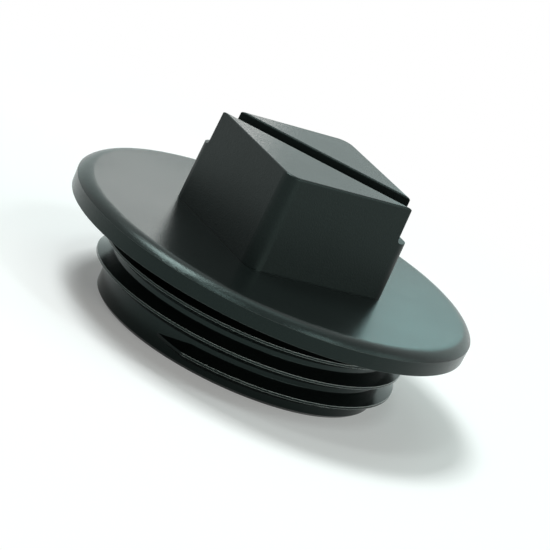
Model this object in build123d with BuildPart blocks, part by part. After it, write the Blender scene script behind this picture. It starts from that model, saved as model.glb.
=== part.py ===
from build123d import *
import os
from math import asin, cos, degrees, radians, sin, sqrt, tan

# Screw plug for a three-quarter inch pipe thread, moulded in one piece.
# Millimetres, +Z up. The origin is the centre of the sealing face under the flange:
# the threaded body reaches down from it and the wrench head stands on the other side.

# Thread: right-handed parallel pipe thread with flanks of the Whitworth angle
thread_major_diameter = 26.441
threads_per_inch = 14
thread_angle = 55.0
thread_depth = 1.162
thread_crest_flat = 0.20
thread_turns = 2.5
thread_runout_angle = 16.0
thread_start_azimuth = -66.0
thread_start_land = 1.29

# Hollow body below the flange
body_length = 7.0
body_wall = 2.4
body_end_chamfer = 0.25
bore_draft = 1.0
bore_end_chamfer = 0.8

# Flange: flat on top, rounded over towards a short, nearly upright wall that it meets at an edge.
# A shallow relief round the neck of the thread keeps the sealing face clear of the thread.
flange_diameter = 34.36
flange_thickness = 1.80
flange_wall_height = 1.20
flange_wall_draft = 2.0
flange_top_rounding = 1.50
flange_web = 2.3
neck_relief_gap = 0.4
neck_relief_depth = 0.2

# Wrench head: a square that narrows towards its top
head_side = 13.62
head_height = 8.02
head_draft = 1.1
head_corner_rounding = 1.3
head_edge_rounding = 0.18
head_wall = 2.4
pocket_corner_rounding = 1.0

# Screwdriver slot across two corners of the head
slot_width = 2.72
slot_depth = 3.05
slot_offset = 0.4
slot_azimuth = 45.0
slot_edge_rounding = 0.15
slot_floor_rounding = 0.30
slot_floor_wall = 2.2

# How far a cutter or a joined piece reaches past the face that it meets
overlap = 0.3

# Worked out from the driving dimensions
inch = 25.4
full_turn = 360
thread_pitch = inch / threads_per_inch
thread_crest_radius = thread_major_diameter / 2
core_radius = thread_crest_radius - thread_depth
ridge_depth = thread_depth + overlap
half_crest = thread_crest_flat / 2
neck_relief_radius = thread_crest_radius + neck_relief_gap
half_ridge = half_crest + ridge_depth * tan(radians(thread_angle / 2))
thread_sweep = thread_turns * full_turn
thread_start_height = thread_start_land - body_length

flange_radius = flange_diameter / 2
flange_foot_radius = flange_radius - flange_wall_height * tan(radians(flange_wall_draft))
rounding_centre_height = flange_thickness - flange_top_rounding
rounding_end = asin((flange_wall_height - rounding_centre_height) / flange_top_rounding)
flange_flat_radius = flange_radius - flange_top_rounding * cos(rounding_end)

bore_radius = core_radius - body_wall
bore_ceiling = flange_thickness - flange_web
bore_wall_height = body_length + bore_ceiling - bore_end_chamfer
bore_end_radius = bore_radius - bore_wall_height * tan(radians(bore_draft))
head_top = flange_thickness + head_height
slot_floor = head_top - slot_depth
slot_reach = head_side * sqrt(2)
slot_heading = radians(slot_azimuth)
slot_centre = (-slot_offset * sin(slot_heading), slot_offset * cos(slot_heading), 0)
pocket_side = head_side - 2 * head_wall
pocket_height = slot_floor - slot_floor_wall - bore_ceiling


def ridge_section(turned, sunk=0.0):
    """Section of the thread's ridge at an angle along the helix, sunk towards the axis."""
    heading = radians(turned)
    section_plane = Plane(
        origin=(0, 0, thread_pitch * turned / full_turn),
        x_dir=(cos(heading), sin(heading), 0),
        z_dir=(sin(heading), -cos(heading), 0),
    )
    crest = thread_crest_radius - sunk
    with BuildSketch(section_plane) as section:
        with BuildLine():
            Polyline(
                (crest, -half_crest),
                (crest, half_crest),
                (crest - ridge_depth, half_ridge),
                (crest - ridge_depth, -half_ridge),
                close=True,
            )
        make_face()
    return section.sketch


def helix_stretch(start, end):
    """Stretch of the thread's crest line between two angles along the helix."""
    with BuildLine() as stretch:
        Helix(
            pitch=thread_pitch,
            height=thread_pitch * (end - start) / full_turn,
            radius=thread_crest_radius,
        )
    return stretch.line.moved(Location((0, 0, thread_pitch * start / full_turn), (0, 0, start)))


# Ridge of the thread: it rises out of the core, runs round it and sinks back into it
buried = thread_depth + overlap / 2
runout_end = thread_sweep - thread_runout_angle
with BuildPart() as ridge:
    sweep(
        [ridge_section(0, buried), ridge_section(thread_runout_angle)],
        path=helix_stretch(0, thread_runout_angle),
        multisection=True,
        is_frenet=True,
    )
    sweep(
        ridge_section(thread_runout_angle),
        path=helix_stretch(thread_runout_angle, runout_end),
        is_frenet=True,
    )
    sweep(
        [ridge_section(runout_end), ridge_section(thread_sweep, buried)],
        path=helix_stretch(runout_end, thread_sweep),
        multisection=True,
        is_frenet=True,
    )

# Cutter for the slot: flared at its mouth, rounded along its floor
with BuildPart() as slot_cutter:
    with BuildSketch(Plane.YZ) as slot_section:
        half_width = slot_width / 2
        mouth = half_width + slot_edge_rounding
        with BuildLine():
            Polyline(
                (0, slot_floor),
                (half_width, slot_floor),
                (half_width, head_top - slot_edge_rounding),
            )
            CenterArc(
                (mouth, head_top - slot_edge_rounding), slot_edge_rounding, 180, -90,
            )
            Polyline(
                (mouth, head_top),
                (mouth, head_top + overlap),
                (0, head_top + overlap),
                (0, slot_floor),
            )
        make_face()
        fillet(
            slot_section.vertices().group_by(Axis.Y)[0].sort_by(Axis.X)[-1],
            radius=slot_floor_rounding,
        )
        mirror(about=Plane.YZ)
    extrude(amount=slot_reach, both=True)

# Wrench head with its slot
with BuildPart() as head:
    with BuildSketch(Plane.XY.offset(flange_thickness)):
        RectangleRounded(head_side, head_side, head_corner_rounding)
    extrude(amount=head_height, taper=head_draft)
    fillet(head.faces().sort_by(Axis.Z)[-1].edges(), radius=head_edge_rounding)
    with Locations(Location(slot_centre, (0, 0, slot_azimuth))):
        add(slot_cutter.part, mode=Mode.SUBTRACT)

# Hollow underneath: a round bore, and a square pocket above it that enters the head
with BuildPart() as hollow:
    with BuildSketch(Plane.XZ):
        with BuildLine():
            Polyline(
                (0, -body_length),
                (bore_radius, -body_length),
                (bore_end_radius, bore_ceiling - bore_end_chamfer),
                (bore_end_radius - bore_end_chamfer, bore_ceiling),
                (0, bore_ceiling),
                close=True,
            )
        make_face()
    revolve(axis=Axis.Z)
    with BuildSketch(Plane.XY.offset(bore_ceiling - overlap)):
        RectangleRounded(pocket_side, pocket_side, pocket_corner_rounding)
    extrude(amount=pocket_height + overlap, taper=bore_draft)

# The whole plug: flange and core turned about the axis, with ridge, head and hollow
with BuildPart() as screw_plug:
    with BuildSketch(Plane.XZ):
        with BuildLine():
            Line((0, flange_thickness), (flange_flat_radius, flange_thickness))
            CenterArc(
                (flange_flat_radius, rounding_centre_height),
                flange_top_rounding, 90, degrees(rounding_end) - 90,
            )
            Polyline(
                (flange_radius, flange_wall_height),
                (flange_foot_radius, 0),
                (neck_relief_radius, 0),
                (neck_relief_radius, neck_relief_depth),
                (core_radius, neck_relief_depth),
                (core_radius, body_end_chamfer - body_length),
                (core_radius - body_end_chamfer, -body_length),
                (0, -body_length),
                (0, flange_thickness),
            )
        make_face()
    revolve(axis=Axis.Z)
    with Locations(Location((0, 0, thread_start_height), (0, 0, thread_start_azimuth))):
        add(ridge.part)
    add(head.part)
    add(hollow.part, mode=Mode.SUBTRACT)

screw_plug.part.label = "screw_plug"

os.makedirs("parts", exist_ok=True)
export_step(screw_plug.part, "parts/screw_plug.step")
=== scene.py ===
"""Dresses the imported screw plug: black moulded plastic, a white studio and the photograph's camera."""

import logging
import math
from dataclasses import dataclass, field
from enum import Enum
from typing import Any, Optional, Union

import bmesh
import bpy
from mathutils import Matrix, Vector


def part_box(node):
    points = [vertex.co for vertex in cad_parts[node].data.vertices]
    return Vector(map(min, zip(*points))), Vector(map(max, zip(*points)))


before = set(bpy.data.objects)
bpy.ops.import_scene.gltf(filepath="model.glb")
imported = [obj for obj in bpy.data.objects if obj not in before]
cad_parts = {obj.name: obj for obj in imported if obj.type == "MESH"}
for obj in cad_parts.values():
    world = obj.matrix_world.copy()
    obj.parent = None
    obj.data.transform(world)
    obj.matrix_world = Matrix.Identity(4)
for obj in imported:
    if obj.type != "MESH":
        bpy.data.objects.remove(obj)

log = logging.getLogger("screw_plug")

MILLIMETRE = 0.001
Number = Union[int, float]
Colour = tuple[float, float, float, float]


class Operation(Enum):
    """What a Math node works out."""

    ADD = "ADD"
    SUBTRACT = "SUBTRACT"
    MULTIPLY = "MULTIPLY"
    LARGER = "MAXIMUM"


class Value:
    """An output socket that can stand in Python expressions; each operator adds one node."""

    def __init__(self, shader: "Shader", socket: bpy.types.NodeSocket) -> None:
        """Keep the socket and the node builder that it belongs to.

        Args:
            shader: the node builder.
            socket: the output socket.
        """
        self.shader = shader
        self.socket = socket

    def _math(self, operation: Operation, *values: Union["Value", Number]) -> "Value":
        """Add a Math node.

        Args:
            operation: what the node works out.
            values: its inputs, in order.

        Returns:
            The node's output.
        """
        return self.shader.node("ShaderNodeMath", {"operation": operation.value}, dict(enumerate(values)))

    def __add__(self, other: Union["Value", Number]) -> "Value":
        """Return self + other."""
        return self._math(Operation.ADD, self, other)

    def __radd__(self, other: Number) -> "Value":
        """Return other + self."""
        return self._math(Operation.ADD, other, self)

    def __sub__(self, other: Union["Value", Number]) -> "Value":
        """Return self - other."""
        return self._math(Operation.SUBTRACT, self, other)

    def __rsub__(self, other: Number) -> "Value":
        """Return other - self."""
        return self._math(Operation.SUBTRACT, other, self)

    def __mul__(self, other: Union["Value", Number]) -> "Value":
        """Return self * other."""
        return self._math(Operation.MULTIPLY, self, other)

    def __rmul__(self, other: Number) -> "Value":
        """Return other * self."""
        return self._math(Operation.MULTIPLY, other, self)

    def or_more(self, other: Union["Value", Number]) -> "Value":
        """Return the larger of self and other."""
        return self._math(Operation.LARGER, self, other)

    def ramp(self, low: float, high: float) -> "Value":
        """Rise smoothly from 0 at low to 1 at high.

        Args:
            low: value where the rise starts.
            high: value where it ends.

        Returns:
            The ramp, between 0 and 1.
        """
        inputs = {"Value": self, "From Min": low, "From Max": high}
        return self.shader.node("ShaderNodeMapRange", {"interpolation_type": "SMOOTHSTEP"}, inputs)

    def mix(self, first: Union["Value", Colour], second: Union["Value", Colour]) -> "Value":
        """Mix two colours by this value.

        Args:
            first: the colour at 0.
            second: the colour at 1.

        Returns:
            The mixed colour.
        """
        inputs = {"Factor": self, 6: first, 7: second}
        return self.shader.node("ShaderNodeMix", {"data_type": "RGBA"}, inputs, 2)


class Shader:
    """Builds the nodes of one material or world."""

    def __init__(self, tree: bpy.types.NodeTree) -> None:
        """Empty the tree and keep it.

        Args:
            tree: the node tree to fill.
        """
        self.tree = tree
        self.tree.nodes.clear()

    def node(
        self,
        kind: str,
        settings: Optional[dict[str, Any]] = None,
        inputs: Optional[dict[Union[str, int], Any]] = None,
        output: Union[str, int] = 0,
    ) -> Value:
        """Add any node.

        Args:
            kind: the node's type.
            settings: properties, set before the sockets are filled.
            inputs: values or links, by socket name or number.
            output: name or number of the socket to return.

        Returns:
            The chosen output of the new node.
        """
        node = self.tree.nodes.new(kind)
        for name, value in (settings or {}).items():
            setattr(node, name, value)
        for name, value in (inputs or {}).items():
            if isinstance(value, Value):
                self.tree.links.new(value.socket, node.inputs[name])
            else:
                node.inputs[name].default_value = value
        return Value(self, node.outputs[output])

    def finish(self, kind: str, surface: Value) -> None:
        """Add the output node.

        Args:
            kind: the output node's type.
            surface: the shader that it shows.
        """
        self.tree.links.new(surface.socket, self.tree.nodes.new(kind).inputs["Surface"])

    def place(self) -> Value:
        """Return the point on the surface in the object's own coordinates, in metres."""
        return self.node("ShaderNodeTexCoord", output="Object")

    def height(self) -> Value:
        """Return how far the point on the surface lies along the plug's axis, in metres."""
        return self.node("ShaderNodeSeparateXYZ", inputs={0: self.place()}, output="Z")

    def radius(self) -> Value:
        """Return how far the point on the surface lies from the plug's axis, in metres."""
        across = self.node("ShaderNodeVectorMath", {"operation": "MULTIPLY"}, {0: self.place(), 1: (1.0, 1.0, 0.0)})
        return self.node("ShaderNodeVectorMath", {"operation": "LENGTH"}, {0: across}, "Value")

    def noise(self, grain: float, detail: float = 2.0, roughness: float = 0.5) -> Value:
        """Add noise.

        Args:
            grain: size of one grain, in metres.
            detail: how many finer layers it has.
            roughness: how strong they are.

        Returns:
            The noise, about 0.5 on average.
        """
        inputs = {"Vector": self.place(), "Scale": 1 / grain, "Detail": detail, "Roughness": roughness}
        return self.node("ShaderNodeTexNoise", inputs=inputs)


@dataclass(frozen=True)
class MouldedPlastic:
    """Black plastic as it comes out of the mould: grained above the flange's foot, smoother on the thread."""

    name: str = "black_plastic"
    deep: Colour = (0.0008, 0.0012, 0.0011, 1.0)
    pale: Colour = (0.0070, 0.0098, 0.0092, 1.0)
    grain: float = 0.15 * MILLIMETRE
    grain_depth: float = 0.02 * MILLIMETRE
    cloud: float = 4.0 * MILLIMETRE
    grained_roughness: float = 0.24
    side_roughness: float = 0.42
    side_bottom: float = 2.0 * MILLIMETRE
    side_top: float = 9.6 * MILLIMETRE
    side_edge: float = 0.2 * MILLIMETRE
    polished_roughness: float = 0.16
    uneven_roughness: float = 0.06
    polish_top: float = -0.2 * MILLIMETRE
    polish_bottom: float = -0.6 * MILLIMETRE
    refraction: float = 1.32
    sheen_tint: Colour = (0.72, 1.0, 0.95, 1.0)
    edge_radius: float = 0.07 * MILLIMETRE
    edge_samples: int = 6
    edge_bend: float = 0.9
    # Painted highlight: a light grey-teal put into the base colour along sharp edges in place of the glints they
    # catch. It is strongest on the thread crests and faint on the flange rim and the head's top corners.
    painted_glint: Colour = (0.62, 0.70, 0.68, 1.0)
    crest_radius: float = 13.2 * MILLIMETRE
    crest_blend: float = 0.1 * MILLIMETRE
    crest_glint: float = 1.0
    rim_radius: float = 17.1 * MILLIMETRE
    rim_blend: float = 0.1 * MILLIMETRE
    rim_glint: float = 0.15
    corner_glint: float = 0.2
    foot_radius: float = 11.0 * MILLIMETRE
    foot_blend: float = 0.5 * MILLIMETRE
    foot_top: float = 2.2 * MILLIMETRE

    def build(self) -> bpy.types.Material:
        """Make the material.

        Returns:
            The material.
        """
        material = bpy.data.materials.new(self.name)
        material.use_nodes = True
        shader = Shader(material.node_tree)
        grained = shader.height().ramp(self.polish_bottom, self.polish_top)
        grain = shader.noise(self.grain, detail=3.0, roughness=0.6)
        cloud = shader.noise(self.cloud)
        roughness_step = self.grained_roughness - self.polished_roughness
        above = shader.height().ramp(self.side_bottom - self.side_edge, self.side_bottom)
        below = 1.0 - shader.height().ramp(self.side_top, self.side_top + self.side_edge)
        side_step = above * below * (self.side_roughness - self.grained_roughness)
        roughness = (
            self.polished_roughness + grained * roughness_step + side_step + (cloud - 0.5) * self.uneven_roughness
        )
        edge = shader.node("ShaderNodeBevel", {"samples": self.edge_samples}, {"Radius": self.edge_radius})
        plain = shader.node("ShaderNodeNewGeometry", output="Normal")
        facing = shader.node("ShaderNodeVectorMath", {"operation": "DOT_PRODUCT"}, {0: edge, 1: plain}, "Value")
        # Painted highlight: where the bevelled normal bends away from the face, the base colour is lightened
        # towards the glint colour, on the thread crests, the flange rim and the head's top.
        sharp = 1.0 - facing.ramp(self.edge_bend, 1.0)
        rim = shader.radius().ramp(self.rim_radius - self.rim_blend, self.rim_radius)
        crest = shader.radius().ramp(self.crest_radius - self.crest_blend, self.crest_radius) * (1.0 - grained)
        corner = shader.height().ramp(self.side_top - self.side_edge, self.side_top)
        painted_glint = sharp * (crest * self.crest_glint + rim * self.rim_glint + corner * self.corner_glint)
        outer = shader.radius().ramp(self.foot_radius, self.foot_radius + self.foot_blend)
        lifted = shader.height().ramp(self.foot_top, self.foot_top + self.side_edge)
        rounded = shader.node(
            "ShaderNodeMix", {"data_type": "VECTOR"}, {"Factor": outer + lifted, 4: plain, 5: edge}, 1,
        )
        bump = shader.node(
            "ShaderNodeBump",
            inputs={
                "Strength": grained * 0.6 + 0.15,
                "Distance": self.grain_depth,
                "Height": grain,
                "Normal": rounded,
            },
        )
        surface = shader.node(
            "ShaderNodeBsdfPrincipled",
            inputs={
                # Base colour: random grain tone, lightened along the edges by the painted highlight.
                "Base Color": painted_glint.mix(grain.mix(self.deep, self.pale), self.painted_glint),
                "Roughness": roughness,
                "IOR": self.refraction,
                "Specular Tint": self.sheen_tint,
                "Normal": bump,
            },
        )
        shader.finish("ShaderNodeOutputMaterial", surface)
        return material


@dataclass
class Plug:
    """The screw plug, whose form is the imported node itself."""

    node: str = "screw_plug"
    finish: MouldedPlastic = MouldedPlastic()

    def dress(self) -> bpy.types.Object:
        """Give the plug its plastic.

        Returns:
            The plug.
        """
        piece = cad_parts[self.node]
        material = self.finish.build()
        piece.data.materials.clear()
        piece.data.materials.append(material)
        log.info("%s: %d faces in %s", piece.name, len(piece.data.polygons), material.name)
        return piece


@dataclass
class PhotographCamera:
    """Camera of the photograph, as fitted to the plug's edges: a long lens, low and rolled."""

    frame_pixels: int = 550
    focal_pixels: float = 3129.2
    distance: float = 250.0 * MILLIMETRE
    azimuth: float = 53.34
    elevation: float = 16.28
    roll: float = 25.46
    shift_right: float = 0.440 * MILLIMETRE
    shift_up: float = -0.735 * MILLIMETRE
    sensor: float = 36.0

    def build(self) -> bpy.types.Object:
        """Make the camera and hand it to the scene.

        Returns:
            The camera.
        """
        elevation = math.radians(self.elevation)
        roll = math.radians(self.roll)
        turn = Matrix.Rotation(math.radians(self.azimuth), 3, "Z")
        forward = turn @ Vector((0.0, math.cos(elevation), -math.sin(elevation)))
        level = turn @ Vector((1.0, 0.0, 0.0))
        upright = level.cross(forward)
        right = level * math.cos(roll) + upright * math.sin(roll)
        up = upright * math.cos(roll) - level * math.sin(roll)
        place = right * self.shift_right + up * self.shift_up - forward * self.distance
        data = bpy.data.cameras.new("photograph_camera")
        data.sensor_width = self.sensor
        data.lens = self.focal_pixels / self.frame_pixels * self.sensor
        data.clip_start = 0.01
        data.clip_end = 20.0
        camera = bpy.data.objects.new(data.name, data)
        axes = Matrix((right, up, -forward)).transposed().to_4x4()
        camera.matrix_world = Matrix.Translation(place) @ axes
        bpy.context.scene.collection.objects.link(camera)
        bpy.context.scene.camera = camera
        return camera


@dataclass
class Softbox:
    """Rectangular studio lamp that points at the plug."""

    name: str
    bearing: float
    elevation: float
    distance: float
    width: float
    height: float
    radiance: float
    colour: tuple[float, float, float] = (1.0, 1.0, 1.0)

    def build(self) -> bpy.types.Object:
        """Make the lamp. Its bearing turns from the camera's side towards the photograph's right.

        Returns:
            The lamp.
        """
        bearing = math.radians(self.bearing + PhotographCamera.azimuth - 90.0)
        elevation = math.radians(self.elevation)
        direction = Vector((
            math.cos(bearing) * math.cos(elevation),
            math.sin(bearing) * math.cos(elevation),
            math.sin(elevation),
        ))
        data = bpy.data.lights.new(self.name, "AREA")
        data.shape = "RECTANGLE"
        data.size, data.size_y = self.width, self.height
        data.energy = self.radiance * math.pi * self.width * self.height
        data.color = self.colour
        lamp = bpy.data.objects.new(self.name, data)
        level = Vector((-math.sin(bearing), math.cos(bearing), 0.0))
        turn = Matrix((level, direction.cross(level), direction)).transposed().to_4x4()
        lamp.matrix_world = Matrix.Translation(direction * self.distance) @ turn
        lamp.visible_camera = False
        bpy.context.scene.collection.objects.link(lamp)
        return lamp


@dataclass
class Studio:
    """White floor and soft lamps."""

    floor_size: float = 6.0
    room: Colour = (0.96, 1.0, 0.86, 1.0)
    room_strength: float = 0.12
    white: Colour = (1.0, 1.0, 1.0, 1.0)
    paper: Colour = (0.35, 0.35, 0.35, 1.0)
    glow: float = 0.2
    shadow_inside: float = 30.0 * MILLIMETRE
    shadow_outside: float = 75.0 * MILLIMETRE
    lamps: list[Softbox] = field(default_factory=lambda: [
        Softbox("back_panel", 180.0, 20.0, 0.30, 0.50, 0.25, 0.15, (0.0, 1.0, 0.85)),
        Softbox("near_left", -164.8, 20.5, 0.0536, 0.016, 0.008, 1.9, (1.0, 0.9, 0.88)),
        Softbox("near_right", 159.4, 21.3, 0.055, 0.018, 0.010, 1.4, (0.35, 1.0, 1.0)),
        Softbox("right_low", 45.0, 13.0, 0.30, 0.20, 0.09, 6.0, (1.0, 1.0, 0.95)),
        Softbox("right_high", 92.0, 38.0, 0.30, 0.16, 0.12, 1.6, (0.8, 1.0, 0.97)),
        Softbox("top_left", -108.0, 66.0, 0.30, 0.13, 0.075, 20.0, (0.95, 1.0, 1.0)),
        Softbox("top_front", -30.0, 66.0, 0.30, 0.05, 0.05, 10.0, (0.9, 1.0, 1.0)),
        Softbox("top_right", 60.0, 58.0, 0.30, 0.05, 0.05, 12.0, (0.9, 1.0, 1.0)),
        Softbox("overhead", 180.0, 75.0, 0.30, 0.14, 0.10, 1.5, (0.8, 1.0, 0.98)),
    ])

    def floor(self, height: float) -> bpy.types.Object:
        """Lay the floor that the plug stands on.

        Args:
            height: the floor's height, in metres.

        Returns:
            The floor.
        """
        form = bmesh.new()
        bmesh.ops.create_grid(form, x_segments=1, y_segments=1, size=self.floor_size / 2)
        bmesh.ops.translate(form, verts=form.verts, vec=(0.0, 0.0, height))
        mesh = bpy.data.meshes.new("floor")
        form.to_mesh(mesh)
        form.free()
        mesh.materials.append(self.floor_material())
        piece = bpy.data.objects.new("floor", mesh)
        bpy.context.scene.collection.objects.link(piece)
        return piece

    def shows_background(self, shader: Shader) -> Value:
        """Tell the rays that show the white background from those that light the plug.

        Args:
            shader: the node builder of the floor or the world.

        Returns:
            1 for rays from the camera and for mirrored or transmitted ones, 0 for the others.
        """
        kinds = ("Is Camera Ray", "Is Glossy Ray", "Is Transmission Ray")
        camera, glossy, transmission = (shader.node("ShaderNodeLightPath", output=kind) for kind in kinds)
        return camera + glossy + transmission

    def floor_material(self) -> bpy.types.Material:
        """Make the floor's paper, which shows as white apart from the plug's shadow.

        Returns:
            The material.
        """
        material = bpy.data.materials.new("white_floor")
        material.use_nodes = True
        shader = Shader(material.node_tree)
        away = shader.node("ShaderNodeVectorMath", {"operation": "LENGTH"}, {0: shader.place()}, "Value")
        whitened = away.ramp(self.shadow_inside, self.shadow_outside) * (1.0 - self.glow) + self.glow
        paper = shader.node("ShaderNodeBsdfDiffuse", inputs={"Color": self.white})
        dull = shader.node("ShaderNodeBsdfDiffuse", inputs={"Color": self.paper})
        white = shader.node("ShaderNodeEmission", inputs={"Color": self.white, "Strength": 1.0})
        lit = shader.node("ShaderNodeMixShader", inputs={0: whitened, 1: paper, 2: white})
        surface = shader.node("ShaderNodeMixShader", inputs={0: self.shows_background(shader), 1: dull, 2: lit})
        shader.finish("ShaderNodeOutputMaterial", surface)
        return material

    def world(self) -> None:
        """Light the room dimly and evenly, with a white background."""
        world = bpy.data.worlds.new("studio")
        world.use_nodes = True
        shader = Shader(world.node_tree)
        room = shader.node("ShaderNodeBackground", inputs={"Color": self.room, "Strength": self.room_strength})
        white = shader.node("ShaderNodeBackground", inputs={"Color": self.white, "Strength": 1.0})
        surface = shader.node("ShaderNodeMixShader", inputs={0: self.shows_background(shader), 1: room, 2: white})
        shader.finish("ShaderNodeOutputWorld", surface)
        bpy.context.scene.world = world

    def build(self, height: float) -> None:
        """Set the floor, the room and the lamps.

        Args:
            height: the floor's height, in metres.
        """
        self.floor(height)
        self.world()
        for lamp in self.lamps:
            lamp.build()
            log.info("lamp %s", lamp.name)


def main() -> None:
    """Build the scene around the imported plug."""
    logging.basicConfig(level=logging.INFO, format="%(name)s %(message)s")
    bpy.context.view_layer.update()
    Plug().dress()
    PhotographCamera().build()
    Studio().build(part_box("screw_plug")[0].z)
    bpy.context.scene.view_settings.view_transform = "Standard"


if __name__ == "__main__":
    main()
